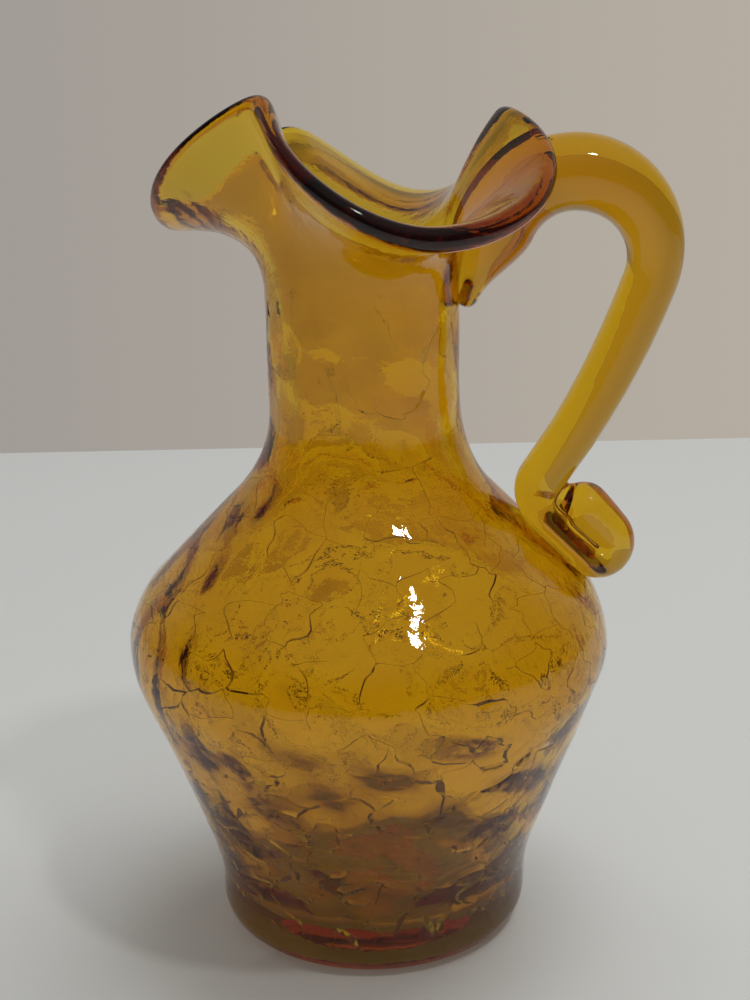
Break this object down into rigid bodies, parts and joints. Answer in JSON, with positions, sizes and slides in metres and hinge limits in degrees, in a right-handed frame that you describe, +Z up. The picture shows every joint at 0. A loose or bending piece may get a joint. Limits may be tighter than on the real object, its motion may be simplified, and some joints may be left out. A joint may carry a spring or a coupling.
{
  "type": "crackle glass pitcher",
  "caption": "Small amber crackle glass pitcher with a waisted neck, ruffled three-lobed rim and applied looped handle.",
  "frame": {"origin": "centre of the flat base", "axes": "+Z up, +X towards the handle, the pouring lobe towards -X"},
  "size_m": [0.0851, 0.0748, 0.1318],
  "materials": {
    "amber_crackle_glass": "clear gloss, crackled in the wall",
    "amber_rod_glass": "clear gloss, smooth fire polished"
  },
  "bodies": {
    "root": {"vessel": "amber_crackle_glass", "handle": "amber_rod_glass"}
  },
  "joints": []
}
